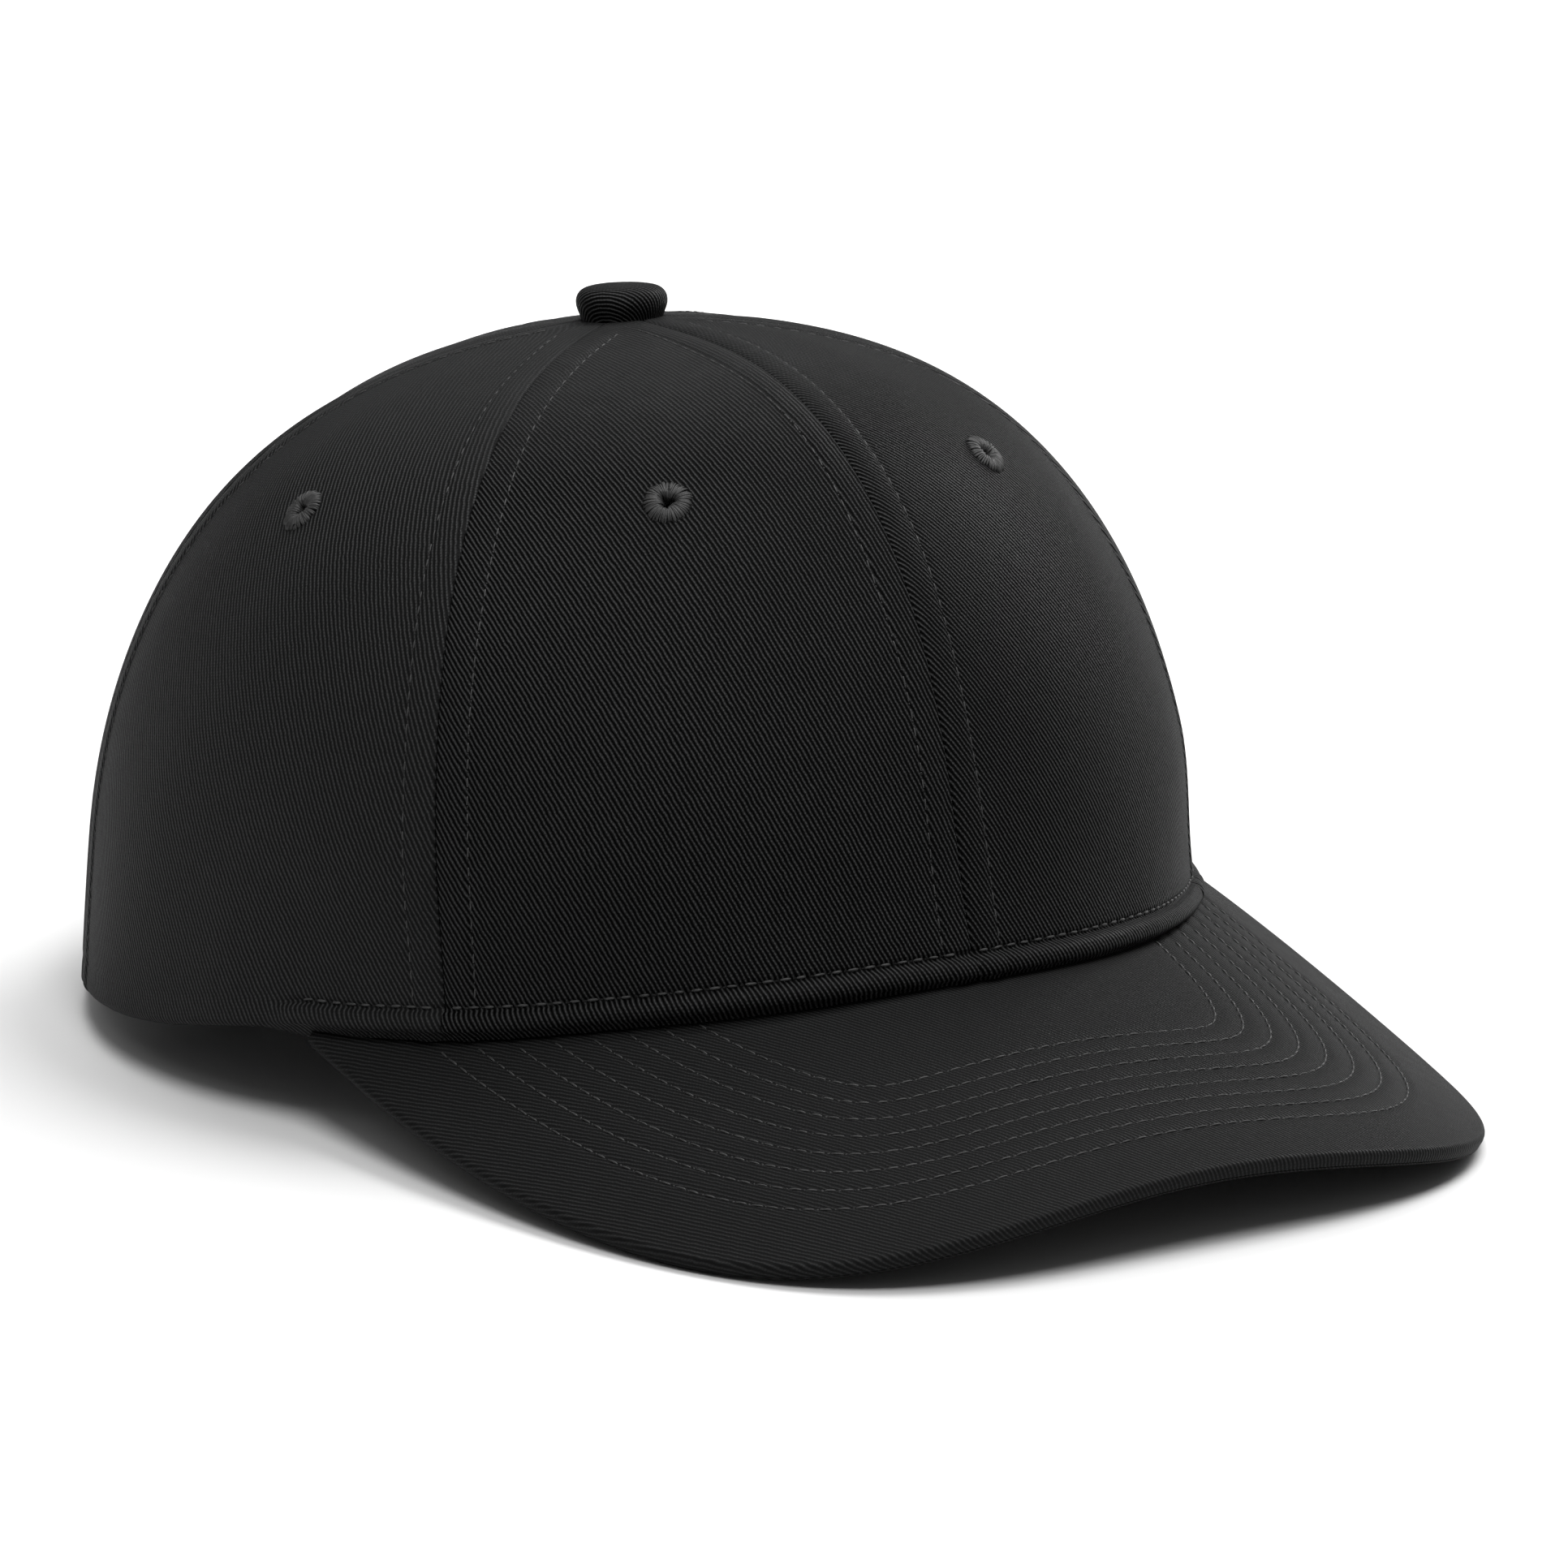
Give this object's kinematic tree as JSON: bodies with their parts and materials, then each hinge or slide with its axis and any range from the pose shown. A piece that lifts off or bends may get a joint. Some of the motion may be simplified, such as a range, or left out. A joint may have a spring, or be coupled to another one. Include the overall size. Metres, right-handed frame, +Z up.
{
  "type": "baseball cap",
  "caption": "Black cotton twill baseball cap with a structured panelled crown, a curved stitched visor, a covered top button and a buckled back strap.",
  "frame": {"origin": "centre of the bounding box on the surface that the cap stands on, under the front of the crown", "axes": "+Z up; the visor points to -Y and the back strap to +Y; the wearer's left is +X. The cap is stored as it rests on a table, on the hem beside the back opening and the visor's two lower corners, which tips its crown back by 7.2 degrees"},
  "size_m": [0.1906, 0.2718, 0.1244],
  "materials": {
    "twill": "matte cotton twill",
    "visor_twill": "matte cotton twill",
    "strap_twill": "matte cotton twill",
    "thread": "satin embroidery thread",
    "buckram": "stiffened mesh",
    "tape": "woven tape",
    "sweatband": "brushed cotton",
    "visor_board": "matte",
    "button_metal": "satin",
    "buckle_metal": "dark nickel"
  },
  "bodies": {
    "cap": {"panel_front_left": "twill", "panel_front_right": "twill", "panel_side_left": "twill", "panel_side_right": "twill", "panel_back_left": "twill", "panel_back_right": "twill", "buckram_left": "buckram", "buckram_right": "buckram", "tape_front": "tape", "tape_front_side_left": "tape", "tape_front_side_right": "tape", "tape_back_side_left": "tape", "tape_back_side_right": "tape", "tape_back": "tape", "eyelet_front_left": "thread", "eyelet_front_right": "thread", "eyelet_side_left": "thread", "eyelet_side_right": "thread", "eyelet_back_left": "thread", "eyelet_back_right": "thread", "button_cover": "twill", "button_shell": "button_metal", "button_rivet": "button_metal", "button_washer": "button_metal", "sweatband": "sweatband", "visor_top_cover": "visor_twill", "visor_board": "visor_board", "visor_under_cover": "visor_twill", "opening_binding": "tape", "closure_strap": "strap_twill", "buckle_tab": "strap_twill", "buckle_frame": "buckle_metal", "buckle_pin": "buckle_metal"},
    "lever": {"buckle_lever": "buckle_metal"}
  },
  "joints": [
    {"name": "buckle_lever_hinge", "type": "hinge", "parent": "cap", "child": "lever", "pos_m": [0.01997, 0.13311, 0.01111], "axis": [0.0247, 0.0249, -0.9994], "range_deg": [0, 95]}
  ]
}
